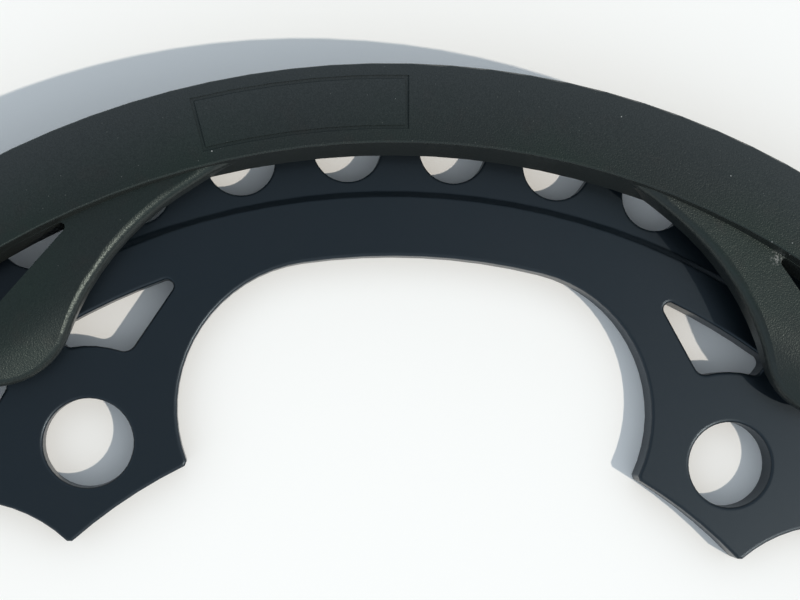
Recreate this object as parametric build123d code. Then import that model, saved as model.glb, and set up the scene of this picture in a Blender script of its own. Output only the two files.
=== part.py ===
from build123d import *
from math import acos, asin, cos, degrees, hypot, pi, radians, sin, sqrt
import os

# A chain guard ring on its 5-arm chainring, lying on its back. All sizes in mm, all angles in degrees.
# The axis of the ring is Z, and Z = 0 is the chainring's rear face. Angles count from +X.

# Teeth and plate of the chainring
chain_pitch = 12.7
chain_reach = 24.0            # pitch circle of the chain outside the bolt circle, to the nearest whole tooth
roller_diameter = 7.75
seat_angle = 138.0            # part of a tooth gap that follows the roller
tooth_rise = 3.3              # tooth tip above the pitch circle
tooth_thickness = 2.1
tooth_bevel_height = 2.6      # bevelled band at the tooth tips, on both sides
tooth_bevel_depth = 0.5
first_valley_angle = 88.1
plate_thickness = 3.5
step_land = 1.25              # flat band from the tooth gaps in to the step of the plate
step_width = 0.7
step_drop = 0.4               # front of the teeth behind the front of the plate
edge_break = 0.2

# Arms of the chainring
arm_count = 5
first_arm_angle = 54.0
bolt_circle_diameter = 130.0
bolt_hole_diameter = 10.3
arm_tip_reach = 7.85          # arm tip inside the bolt circle
arm_tip_half_angle = 8.1
arm_tip_flat = 0.4
rim_width = 7.0
pocket_corner_radius = 17.25

# Windows, a mirrored pair in each arm
window_rim = 5.0
window_toe = 1.8              # from the lug round the bolt hole out to the top of a window
spoke_margin = 0.9            # spoke beside the head of its screw
strut_width = 5.2
strut_lean = 22.7
window_tip_radius = 0.8
window_heel_radius = 1.5
window_spoke_radius = 1.0

# Guard ring, a channel that is open at the rear
ring_inset = 1.5              # bore of the ring inside the pitch circle
ring_width = 9.91
ring_clearance = 3.1          # rear of the ring in front of the plate, room for the chain
ring_depth = 5.2
ring_wall = 2.0
ring_face = 2.2
ring_crown = 0.15             # front of the ring, highest along its middle
bore_flare = 0.85             # bore wider at the front than at the rear
ring_round = 0.25
rib_count = 30
rib_thickness = 1.5
rib_recess = 0.8
rib_overlap = 0.5

# Empty engraved panel on the front of the ring
panel_start_angle = 92.2
panel_end_angle = 107.15
panel_rim_margin = 1.4
panel_bore_margin = 2.35
panel_line = 0.45
panel_depth = 0.25

# Legs of the guard: two from the ring meet in a foot on each arm
leg_drop = 4.75               # straight part of a leg below the bore of the ring
leg_blend_radius = 20.0
leg_bend_radius = 32.0
leg_dip = 2.0                 # top of a foot below the front of the ring
leg_dish_radius = 400.0       # tops of the legs, that rise from the foot to the ring
leg_round = 1.1
foot_reach = 8.35             # foot tip inside the step of the plate
foot_round_radius = 9.0
foot_roll_length = 6.6        # top that rolls down to the foot tip
foot_roll_radius = 14.0
fork_depth = 4.4
fork_slope = 15.8
fork_round = 2.5
fork_corner_round = 0.5
boss_diameter = 7.0           # boss of a foot round its screw, at the plate
boss_draft = 0.3

# Countersunk screws through the plate into the feet
screw_diameter = 3.0
screw_head_diameter = 6.0
screw_inset = 4.5             # screw axis from the foot tip
screw_bite = 4.4              # screw length inside the foot
screw_sink = 0.2              # head below the rear face
socket_width = 2.0
socket_depth = 1.1
screw_clearance = 0.1

# Radii and heights that follow from the sizes above
bolt_radius = bolt_circle_diameter / 2
opening_radius = bolt_radius - arm_tip_reach
tooth_count = round(pi / asin(chain_pitch / 2 / (bolt_radius + chain_reach)))
pitch_radius = chain_pitch / 2 / sin(pi / tooth_count)
seat_radius = 0.505 * roller_diameter + 0.069 * roller_diameter ** (1 / 3)
tip_radius = pitch_radius + tooth_rise
tooth_front = plate_thickness - step_drop
tooth_rear = tooth_front - tooth_thickness
step_radius = pitch_radius - seat_radius - step_land
plate_radius = step_radius - step_width
pocket_radius = plate_radius - rim_width
window_radius = plate_radius - window_rim
lug_radius = window_radius - window_toe - bolt_radius
spoke_width = screw_head_diameter + 2 * spoke_margin
arm_pitch = 360 / arm_count
arm_angles = [first_arm_angle + i * arm_pitch for i in range(arm_count)]
gap_angles = [angle + arm_pitch / 2 for angle in arm_angles]

ring_bore = pitch_radius - ring_inset
ring_radius = ring_bore + ring_width
ring_rear = plate_thickness + ring_clearance
ring_front = ring_rear + ring_depth
ring_edge = ring_front - ring_crown
leg_bore = ring_bore + bore_flare
leg_root = ring_bore + (bore_flare + ring_wall) / 2
foot_top = ring_front - leg_dip
foot_bore = ring_bore + bore_flare * (foot_top - ring_rear) / ring_depth
foot_tip = plate_radius - foot_reach
screw_radius = foot_tip + screw_inset
screw_end = plate_thickness + screw_bite
origin = Vector(0, 0)


def polar_point(radius, angle):
    """Point at a radius and an angle."""
    return Vector(radius * cos(radians(angle)), radius * sin(radians(angle)))


def mirrored(point):
    """The same point on the other side of the X axis."""
    return Vector(point.X, -point.Y)


def arc(center, start, end):
    """Arc under 180 degrees about a centre."""
    middle = (start - center + end - center).normalized() * (start - center).length
    return ThreePointArc(start, center + middle, end)


def line_meets_circle(point, direction, center, radius, far):
    """Where a line, given by a point and a unit direction, enters a circle, or leaves it if far."""
    nearest = (center - point).dot(direction)
    gap = (point + direction * nearest - center).length
    half = sqrt(radius ** 2 - gap ** 2)
    return point + direction * (nearest + half if far else nearest - half)


def turned(shapes, angles):
    """Copies of a shape turned about the Z axis."""
    return [Rot(0, 0, angle) * shapes for angle in angles]


def revolved(edges):
    """Solid of revolution about Z, from edges drawn as (radius, height)."""
    return revolve(Plane.XZ * make_face(edges), Axis.Z)


def pocket_corner_angle():
    """Angle off the gap axis of a pocket's corner centre: the corner ends in the arm's tip."""
    center_radius = pocket_radius - pocket_corner_radius
    cosine = center_radius ** 2 + opening_radius ** 2 - pocket_corner_radius ** 2
    spread = degrees(acos(cosine / (2 * center_radius * opening_radius)))
    return arm_pitch / 2 - arm_tip_half_angle - spread


def pocket_face():
    """Opening between two arms, with the gap axis along X."""
    tip = polar_point(opening_radius, arm_pitch / 2 - arm_tip_half_angle)
    corner = polar_point(pocket_radius - pocket_corner_radius, pocket_corner_angle())
    shoulder = polar_point(pocket_radius, pocket_corner_angle())
    return make_face([
        arc(corner, tip, shoulder),
        arc(origin, shoulder, mirrored(shoulder)),
        arc(mirrored(corner), mirrored(shoulder), mirrored(tip)),
        Line(mirrored(tip), tip),
    ])


def window_face():
    """Window beside the spoke of an arm, with the arm along X and the window on its -Y side."""
    lean = radians(strut_lean)
    across = Vector(cos(lean), sin(lean))
    along = Vector(-sin(lean), cos(lean))
    pocket_angle = pocket_corner_angle() - arm_pitch / 2
    pocket_center = polar_point(pocket_radius - pocket_corner_radius, pocket_angle)
    strut_edge = pocket_center + across * (pocket_corner_radius + strut_width)
    bolt_center = Vector(bolt_radius, 0)
    spoke_edge = Vector(bolt_radius, -spoke_width / 2)
    outward = Vector(1, 0)
    tip = line_meets_circle(strut_edge, along * -1, origin, window_radius, far=True)
    heel = line_meets_circle(strut_edge, along, bolt_center, lug_radius, far=False)
    toe = line_meets_circle(spoke_edge, outward, bolt_center, lug_radius, far=True)
    top = line_meets_circle(spoke_edge, outward, origin, window_radius, far=True)
    face = make_face([
        arc(origin, top, tip),
        Line(tip, heel),
        arc(bolt_center, heel, toe),
        Line(toe, top),
    ])
    rounds = [
        (tip, window_tip_radius),
        (heel, window_heel_radius),
        (toe, window_spoke_radius),
        (top, window_spoke_radius),
    ]
    for corner, radius in rounds:
        face = fillet(face.vertices().sort_by_distance(corner)[0], radius)
    return face


def tooth_gap_face():
    """Gap between two teeth, with its axis along X: a roller seat with straight flanks."""
    seat = Vector(pitch_radius, 0)
    end = seat - polar_point(seat_radius, seat_angle / 2)
    flank = polar_point(1, 90 - seat_angle / 2)
    mouth = end + mirrored(flank) * (2 * tooth_rise + seat_radius)
    return make_face([
        arc(seat, end, mirrored(end)),
        Line(mirrored(end), mirrored(mouth)),
        Line(mirrored(mouth), mouth),
        Line(mouth, end),
    ])


def chainring_blank():
    """Turned disc: the plate, its step to the teeth and the bevelled tooth tips."""
    bevel_radius = tip_radius - tooth_bevel_height
    return revolved(Polyline(
        (opening_radius / 2, 0),
        (plate_radius, 0),
        (step_radius, tooth_rear),
        (bevel_radius, tooth_rear),
        (tip_radius, tooth_rear + tooth_bevel_depth),
        (tip_radius, tooth_front - tooth_bevel_depth),
        (bevel_radius, tooth_front),
        (step_radius, tooth_front),
        (plate_radius, plate_thickness),
        (opening_radius / 2, plate_thickness),
        close=True,
    ))


def opening_face():
    """Middle opening with the pockets between the arms, and a small flat on each arm's tip."""
    face = Sketch() + [Circle(opening_radius), *turned(pocket_face(), gap_angles)]
    tips = [
        polar_point(opening_radius, angle + side * arm_tip_half_angle)
        for angle in arm_angles
        for side in (-1, 1)
    ]
    for tip in tips:
        face = chamfer(face.vertices().sort_by_distance(tip)[0], arm_tip_flat)
    return face


def screw_hole():
    """Countersunk hole through the plate, from the rear."""
    head = screw_head_diameter / 2 + screw_clearance
    shank = screw_diameter / 2 + screw_clearance
    return revolved(Polyline(
        (0, 0),
        (head + screw_sink, 0),
        (shank, head + screw_sink - shank),
        (shank, screw_end + screw_clearance),
        (0, screw_end + screw_clearance),
        close=True,
    ))


def make_chainring():
    """Toothed plate with five arms."""
    bolt_hole = Pos(bolt_radius, 0) * Circle(bolt_hole_diameter / 2)
    window = window_face()
    window_pair = [window, mirror(window, Plane.XZ)]
    valley_angles = [first_valley_angle + i * 360 / tooth_count for i in range(tooth_count)]
    body_cuts = Sketch() + [
        opening_face(),
        *turned(bolt_hole, arm_angles),
        *[copy for face in window_pair for copy in turned(face, arm_angles)],
    ]
    tooth_cuts = Sketch() + turned(tooth_gap_face(), valley_angles)
    plate = chainring_blank() - extrude(body_cuts, plate_thickness)

    def is_broken_edge(edge):
        at_face = min(abs(edge.center().Z), abs(edge.center().Z - plate_thickness)) < edge_break / 10
        return at_face and hypot((edge @ 0).X, (edge @ 0).Y) < plate_radius - edge_break

    plate = chamfer(plate.edges().filter_by(is_broken_edge), edge_break)
    plate -= extrude(tooth_cuts, plate_thickness)
    return plate - turned(Pos(screw_radius, 0) * screw_hole(), arm_angles)


def guard_ring():
    """Ring of the guard: a channel section with a flared bore and a slightly crowned front."""
    bore_edge = Vector(leg_bore, ring_edge)
    rim_edge = Vector(ring_radius, ring_edge)
    crown = Vector((leg_bore + ring_radius) / 2, ring_front)
    channel = Polyline(
        rim_edge,
        (ring_radius, ring_rear),
        (ring_radius - ring_wall, ring_rear),
        (ring_radius - ring_wall, ring_front - ring_face),
        (ring_bore + ring_wall, ring_front - ring_face),
        (ring_bore + ring_wall, ring_rear),
        (ring_bore, ring_rear),
        bore_edge,
    )
    section = make_face([ThreePointArc(bore_edge, crown, rim_edge), *channel.edges()])
    for corner in (bore_edge, rim_edge):
        section = fillet(section.vertices().sort_by_distance(corner)[0], ring_round)
    return revolve(Plane.XZ * section, Axis.Z)


def guard_ribs():
    """Cross ribs inside the channel of the ring."""
    start = ring_bore + ring_wall - rib_overlap
    length = ring_width - 2 * ring_wall + 2 * rib_overlap
    base = ring_rear + rib_recess
    height = ring_front - ring_face + rib_overlap - base
    rib = Pos(start, 0, base) * Box(length, rib_thickness, height, align=(Align.MIN, Align.CENTER, Align.MIN))
    return turned(rib, [first_arm_angle + (i + 0.5) * 360 / rib_count for i in range(rib_count)])


def leg_face():
    """Outline of a foot with its two legs, with the arm along X, drawn on into the ring."""
    leg_line = ring_bore - leg_drop
    blend_x = leg_line - leg_blend_radius
    blend = Vector(blend_x, -sqrt((leg_bore - leg_blend_radius) ** 2 - blend_x ** 2))
    foot = Vector(foot_tip + foot_round_radius, 0)
    bend_x = leg_line - leg_bend_radius
    reach = leg_bend_radius + foot_round_radius
    bend = Vector(bend_x, -sqrt(reach ** 2 - (foot.X - bend_x) ** 2))
    start = blend.normalized() * leg_bore
    root = blend.normalized() * ring_radius
    blend_end = Vector(leg_line, blend.Y)
    bend_start = Vector(leg_line, bend.Y)
    foot_start = bend + (foot - bend).normalized() * leg_bend_radius
    tip = Vector(foot_tip, 0)
    side = [
        Line(root, start),
        arc(blend, start, blend_end),
        Line(blend_end, bend_start),
        arc(bend, bend_start, foot_start),
        arc(foot, foot_start, tip),
    ]
    other_side = [mirror(edge, Plane.XZ) for edge in side]
    return make_face([*side, *other_side, arc(origin, root, mirrored(root))])


def fork_face():
    """Gap between the ring and the two legs of a foot, with the arm along X."""
    notch = Vector(ring_bore - fork_depth, 0)
    slope = polar_point(1, fork_slope - 90)
    corner = line_meets_circle(notch, slope, origin, foot_bore, far=True)
    face = make_face([
        Line(notch, corner),
        arc(origin, corner, mirrored(corner)),
        Line(mirrored(corner), notch),
    ])
    rounds = [
        (notch, fork_round),
        (corner, fork_corner_round),
        (mirrored(corner), fork_corner_round),
    ]
    for point, radius in rounds:
        face = fillet(face.vertices().sort_by_distance(point)[0], radius)
    return face


def leg_dish():
    """Space below the top of a foot and its legs, with the arm along X: a dish that rolls down at the tip."""
    roll = Vector(foot_tip + foot_roll_length, foot_top)
    roll_center = roll - Vector(0, foot_roll_radius)
    inner = foot_tip - ring_wall / 2
    roll_end = Vector(inner, roll_center.Y + sqrt(foot_roll_radius ** 2 - (roll.X - inner) ** 2))
    edges = Polyline(roll_end, (inner, 0), (ring_radius, 0), (ring_radius, foot_top), roll)
    profile = Plane.XZ * make_face([arc(roll_center, roll_end, roll), *edges.edges()])
    dish_axis = Axis((0, 0, foot_top + leg_dish_radius), (1, 0, 0))
    half_turn = degrees(asin(ring_radius / leg_dish_radius))
    return revolve(profile.rotate(dish_axis, -half_turn), dish_axis, 2 * half_turn)


def screw_boss():
    """Boss between the plate and a foot, with the arm along X."""
    foot_end = boss_diameter / 2 + boss_draft
    boss = Cone(boss_diameter / 2, foot_end, ring_clearance, align=(Align.CENTER, Align.CENTER, Align.MIN))
    return Pos(screw_radius, 0, plate_thickness) * boss


def make_leg():
    """One foot with its two legs and its boss, with the arm along X, and its outer top edges rounded."""
    leg = Pos(0, 0, ring_rear) * extrude(leg_face(), ring_depth) & leg_dish()
    tops = leg.faces().filter_by(lambda face: face.normal_at().Z > 0.5)
    top_edges = [edge for face in tops for edge in face.edges()]

    def is_free_edge(edge):
        middle = edge @ 0.5
        return top_edges.count(edge) == 1 and hypot(middle.X, middle.Y) < leg_bore

    leg = fillet(list(filter(is_free_edge, top_edges)), leg_round)
    leg &= Pos(0, 0, ring_rear) * extrude(Circle(leg_root), ring_depth)
    leg -= Pos(0, 0, ring_rear) * extrude(fork_face(), ring_depth)
    return leg + screw_boss()


def panel_groove():
    """Engraved outline of the empty panel."""
    def sector(inset):
        outer = ring_radius - panel_rim_margin - inset
        inner = ring_bore + panel_bore_margin + inset
        turn = degrees(inset / outer)
        first, last = panel_start_angle + turn, panel_end_angle - turn
        return make_face([
            arc(origin, polar_point(outer, first), polar_point(outer, last)),
            Line(polar_point(outer, last), polar_point(inner, last)),
            arc(origin, polar_point(inner, last), polar_point(inner, first)),
            Line(polar_point(inner, first), polar_point(outer, first)),
        ])

    return Pos(0, 0, ring_front - panel_depth) * extrude(sector(0) - sector(panel_line), panel_depth)


def make_chain_guard():
    """Moulded guard: ring, ribs, legs and feet in one piece."""
    guard = guard_ring() + guard_ribs() + turned(make_leg(), arm_angles)
    guard -= panel_groove()
    return guard - turned(Pos(screw_radius, 0) * screw_hole(), arm_angles)


def make_screw():
    """Countersunk screw with a hexagon socket, head at the rear."""
    head = screw_head_diameter / 2
    shank = screw_diameter / 2
    screw = revolved(Polyline(
        (0, screw_sink),
        (head, screw_sink),
        (shank, screw_sink + head - shank),
        (shank, screw_end),
        (0, screw_end),
        close=True,
    ))
    socket = RegularPolygon(socket_width / 2, 6, major_radius=False)
    return screw - Pos(0, 0, screw_sink) * extrude(socket, socket_depth)


os.makedirs("parts", exist_ok=True)
export_step(make_chainring(), "parts/chainring.step")
export_step(make_chain_guard(), "parts/chain_guard.step")
screws = turned(Pos(screw_radius, 0) * make_screw(), arm_angles)
export_step(Compound(children=screws), "parts/guard_screws.step")
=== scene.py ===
import bpy
from math import radians
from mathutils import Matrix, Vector

# A chain guard on its chainring, lying on a white table in daylight. All sizes in metres.
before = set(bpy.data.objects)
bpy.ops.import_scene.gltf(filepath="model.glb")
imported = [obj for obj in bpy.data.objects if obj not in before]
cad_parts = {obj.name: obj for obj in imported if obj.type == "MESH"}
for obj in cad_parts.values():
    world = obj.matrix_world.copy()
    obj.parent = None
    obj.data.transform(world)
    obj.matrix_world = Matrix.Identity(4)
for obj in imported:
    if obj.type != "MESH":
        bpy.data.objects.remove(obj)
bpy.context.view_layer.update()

mm = 0.001

# Camera close above the table: its turn is in degrees, its lens and sensor are in millimetres
camera_place = Vector((-23.73, 61.79, 184.57)) * mm
camera_turn = (2.532, -6.712, 2.292)
camera_lens = 69.393
sensor_width = 36.0
camera_near = 10 * mm

# Daylight: the sun over the lower right of the picture, and a pale sky that is darkest straight above
to_sun = Vector((0.773, -0.412, 1.0))
sun_strength = 1.9
sun_color = (1.0, 0.91, 0.78)
sun_spread = 1.2              # degrees
sky_tint = (0.91, 1.02, 1.11)
sky_levels = (                # height, from 0 at the horizon to 1 straight above, and brightness
    (0.0, 0.35),
    (0.15, 0.50),
    (0.4, 0.80),
    (0.71, 0.70),
    (0.94, 0.48),
    (0.985, 0.36),
    (1.0, 0.20),
)

# Table
table_size = 6.0
table_drop = 0.05 * mm        # below the object
table_color = (0.95, 0.95, 0.95)
table_shade = 0.99            # of the table's colour, in its clouds
table_cloud_size = 40 * mm

# Parts of the range of a noise that are stretched to the whole of a change
noise_middle = (0.35, 0.65)
noise_most = (0.3, 0.7)

# Black plastic of the guard
grain_size = 0.18 * mm
grain_depth = 0.04 * mm
grain_pit_share = 0.3
stain_size = 16 * mm
rust_size = 3 * mm
rust_range = (0.55, 0.75)
rust_share = 0.5
# The guard's colour turns paler between these distances from the axis
paler_rim_radii = (89 * mm, 97 * mm)
wall_range = (0.9, 0.3)       # upward part of the normal, from a top to a wall
guard_blue_black = (0.0085, 0.0105, 0.0115, 1)
guard_green_black = (0.0065, 0.0125, 0.0105, 1)
guard_rust = (0.013, 0.0105, 0.0105, 1)
guard_paler_rim = (0.0245, 0.0275, 0.031, 1)
guard_wall = (0.017, 0.0195, 0.0185, 1)
guard_pit = (0.001, 0.002, 0.002, 1)

# Dust on the guard, and a chalky scuff beside the fork of one leg
fine_dust = {"spacing": 0.6 * mm, "size": 0.045 * mm, "share": 0.15}
fine_dust_color = (0.09, 0.095, 0.095, 1)
coarse_dust = {"spacing": 2.6 * mm, "size": 0.08 * mm, "share": 0.30}
coarse_dust_color = (0.26, 0.27, 0.27, 1)
scuff_place = Vector((40.9, 77.4, 10.2)) * mm
scuff_reach = 1.1 * mm
scuff_grain = 0.3 * mm
scuff_range = (0.5, 0.65)
scuff_color = (0.32, 0.32, 0.32, 1)

# Anodised plate of the chainring, with a few bright nicks
plate_cloud_size = 14 * mm
satin_size = 0.12 * mm
satin_depth = 0.02 * mm
plate_edge_radius = 0.4 * mm
plate_dark = (0.0005, 0.003, 0.005, 1)
plate_light = (0.002, 0.004, 0.006, 1)
nicks = {"spacing": 5 * mm, "size": 0.12 * mm, "share": 0.25}
nick_color = (0.10, 0.11, 0.12, 1)

# Steel of the screws
steel_cloud_size = 1.5 * mm
steel_dark = (0.09, 0.09, 0.095, 1)
steel_light = (0.15, 0.15, 0.15, 1)


def set_inputs(tree, node, inputs):
    """Sets inputs of a shader node, each to a value or to the socket that feeds it."""
    for name, value in inputs.items():
        if isinstance(value, bpy.types.NodeSocket):
            tree.links.new(value, node.inputs[name])
        else:
            node.inputs[name].default_value = value


def add(tree, kind, inputs=None, **settings):
    """Adds a shader node, with its settings and its inputs."""
    node = tree.nodes.new(kind)
    for name, value in settings.items():
        setattr(node, name, value)
    set_inputs(tree, node, inputs or {})
    return node


def new_material(name):
    """Plain material with its node tree, its surface shader and its object coordinates."""
    material = bpy.data.materials.new(name)
    material.use_nodes = True
    tree = material.node_tree
    shader = tree.nodes["Principled BSDF"]
    place = add(tree, "ShaderNodeTexCoord").outputs["Object"]
    return material, tree, shader, place


def noise(tree, place, size, detail=2.0, roughness=0.5):
    """Noise with features of about the given size."""
    inputs = {"Vector": place, "Scale": 1 / size, "Detail": detail, "Roughness": roughness}
    return add(tree, "ShaderNodeTexNoise", inputs).outputs["Fac"]


def ramp(tree, value, low, high, out_low=0.0, out_high=1.0):
    """Maps a range of a value to another range, held at its ends."""
    inputs = {"Value": value, "From Min": low, "From Max": high, "To Min": out_low, "To Max": out_high}
    return add(tree, "ShaderNodeMapRange", inputs).outputs["Result"]


def blend(tree, share, first, second):
    """Mixes two colours, each a value or a socket."""
    inputs = {0: share, 6: first, 7: second}
    return add(tree, "ShaderNodeMix", inputs, data_type="RGBA").outputs[2]


def arithmetic(tree, operation, first, second):
    """Arithmetic on two values or sockets."""
    return add(tree, "ShaderNodeMath", {0: first, 1: second}, operation=operation).outputs[0]


def specks(tree, place, spacing, size, share):
    """Sparse small dots: one in each chosen cell of a grid of random points."""
    cells = add(tree, "ShaderNodeTexVoronoi", {"Vector": place, "Scale": 1 / spacing})
    dot = arithmetic(tree, "LESS_THAN", cells.outputs["Distance"], size / spacing)
    chance = add(tree, "ShaderNodeSeparateColor", {"Color": cells.outputs["Color"]}).outputs[0]
    return arithmetic(tree, "MULTIPLY", dot, arithmetic(tree, "LESS_THAN", chance, share))


def steepness(tree):
    """0 on faces that look up, 1 on upright walls."""
    normal = add(tree, "ShaderNodeTexCoord").outputs["Normal"]
    up = add(tree, "ShaderNodeSeparateXYZ", {"Vector": normal}).outputs["Z"]
    return ramp(tree, up, *wall_range)


def near(tree, place, spot, reach):
    """1 at a spot, 0 at its reach and beyond."""
    away = add(tree, "ShaderNodeVectorMath", {0: place, 1: spot}, operation="DISTANCE")
    return ramp(tree, away.outputs["Value"], reach, 0.0)


def radius_of(tree, place):
    """Distance from the axis of the ring."""
    flat = add(tree, "ShaderNodeVectorMath", {0: place, 1: (1, 1, 0)}, operation="MULTIPLY")
    radius = add(tree, "ShaderNodeVectorMath", {0: flat.outputs["Vector"]}, operation="LENGTH")
    return radius.outputs["Value"]


def guard_plastic():
    """Black moulded plastic with a fine grain, paler towards its rim, with dust and one scuff."""
    material, tree, shader, place = new_material("guard_plastic")
    grain = noise(tree, place, grain_size, roughness=0.6)
    stains = ramp(tree, noise(tree, place, stain_size, detail=4.0), *noise_middle)
    rust = ramp(tree, noise(tree, place, rust_size, detail=3.0), *rust_range, 0.0, rust_share)
    chalk = ramp(tree, noise(tree, place, scuff_grain, detail=3.0), *scuff_range)
    layers = (
        (rust, guard_rust),
        # paler colour towards the rim
        (ramp(tree, radius_of(tree, place), *paler_rim_radii), guard_paler_rim),
        (steepness(tree), guard_wall),
        (ramp(tree, grain, *noise_middle, grain_pit_share, 0.0), guard_pit),
        (specks(tree, place, **fine_dust), fine_dust_color),
        (specks(tree, place, **coarse_dust), coarse_dust_color),
        (arithmetic(tree, "MULTIPLY", near(tree, place, scuff_place, scuff_reach), chalk), scuff_color),
    )
    tint = blend(tree, stains, guard_blue_black, guard_green_black)
    for share, color in layers:
        tint = blend(tree, share, tint, color)
    bump = add(tree, "ShaderNodeBump", {"Height": grain, "Strength": 0.7, "Distance": grain_depth})
    set_inputs(tree, shader, {
        "Base Color": tint,
        "Specular IOR Level": 0.45,
        "Specular Tint": (0.84, 1.0, 0.98, 1),
        "Roughness": ramp(tree, grain, *noise_most, 0.29, 0.37),
        "Normal": bump.outputs["Normal"],
    })
    return material


def anodised_plate():
    """Satin blue-black anodised aluminium with slightly rounded edges and a few bright nicks."""
    material, tree, shader, place = new_material("anodised_plate")
    clouds = ramp(tree, noise(tree, place, plate_cloud_size, detail=3.0), *noise_middle)
    tint = blend(tree, clouds, plate_dark, plate_light)
    tint = blend(tree, specks(tree, place, **nicks), tint, nick_color)
    satin = noise(tree, place, satin_size)
    soft_edge = add(tree, "ShaderNodeBevel", {"Radius": plate_edge_radius}, samples=8)
    bump = add(tree, "ShaderNodeBump", {
        "Height": satin,
        "Strength": 0.08,
        "Distance": satin_depth,
        "Normal": soft_edge.outputs["Normal"],
    })
    set_inputs(tree, shader, {
        "Base Color": tint,
        "Specular IOR Level": 0.64,
        "Specular Tint": (0.68, 0.83, 0.99, 1),
        "Roughness": ramp(tree, satin, *noise_most, 0.30, 0.40),
        "Normal": bump.outputs["Normal"],
    })
    return material


def screw_steel():
    """Blackened steel with faint clouds."""
    material, tree, shader, place = new_material("screw_steel")
    clouds = noise(tree, place, steel_cloud_size, detail=3.0)
    set_inputs(tree, shader, {
        "Base Color": blend(tree, ramp(tree, clouds, *noise_middle), steel_dark, steel_light),
        "Metallic": 1.0,
        "Roughness": ramp(tree, clouds, *noise_most, 0.30, 0.45),
    })
    return material


def table_top():
    """Matt white table."""
    material, tree, shader, place = new_material("table_top")
    clouds = noise(tree, place, table_cloud_size)
    shaded = [table_shade * channel for channel in table_color]
    set_inputs(tree, shader, {
        "Base Color": blend(tree, clouds, (*table_color, 1), (*shaded, 1)),
        "Roughness": 0.9,
        "Specular IOR Level": 0.0,
    })
    return material


def make_floor():
    """Table under the object."""
    bpy.ops.mesh.primitive_plane_add(size=table_size, location=(0, 0, -table_drop))
    floor = bpy.context.object
    floor.name = "table"
    floor.data.materials.append(table_top())


def make_camera():
    """Camera at the photograph's place."""
    data = bpy.data.cameras.new("camera")
    data.lens = camera_lens
    data.sensor_width = sensor_width
    data.sensor_fit = "HORIZONTAL"
    data.clip_start = camera_near
    camera = bpy.data.objects.new("camera", data)
    camera.location = camera_place
    camera.rotation_euler = [radians(angle) for angle in camera_turn]
    bpy.context.scene.collection.objects.link(camera)
    bpy.context.scene.camera = camera


def make_sun():
    """The sun."""
    data = bpy.data.lights.new("sun", "SUN")
    data.energy = sun_strength
    data.color = sun_color
    data.angle = radians(sun_spread)
    sun = bpy.data.objects.new("sun", data)
    sun.rotation_euler = to_sun.to_track_quat("Z", "Y").to_euler()
    bpy.context.scene.collection.objects.link(sun)


def make_sky():
    """Pale sky, darkest straight above."""
    world = bpy.data.worlds.new("sky")
    world.use_nodes = True
    tree = world.node_tree
    direction = add(tree, "ShaderNodeTexCoord").outputs["Generated"]
    height = add(tree, "ShaderNodeSeparateXYZ", {"Vector": direction}).outputs["Z"]
    levels = add(tree, "ShaderNodeValToRGB", {"Fac": height})
    stops = levels.color_ramp.elements
    while len(stops) < len(sky_levels):
        stops.new(0.5)
    for stop, (position, level) in zip(stops, sky_levels):
        stop.position = position
        stop.color = (*[level * channel for channel in sky_tint], 1)
    set_inputs(tree, tree.nodes["Background"], {"Color": levels.outputs["Color"]})
    bpy.context.scene.world = world


materials = {
    "chain_guard": guard_plastic(),
    "chainring": anodised_plate(),
    "guard_screws": screw_steel(),
}
for name, material in materials.items():
    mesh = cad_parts[name].data
    mesh.materials.clear()
    mesh.materials.append(material)

make_floor()
make_camera()
make_sun()
make_sky()
bpy.context.scene.view_settings.view_transform = "Standard"
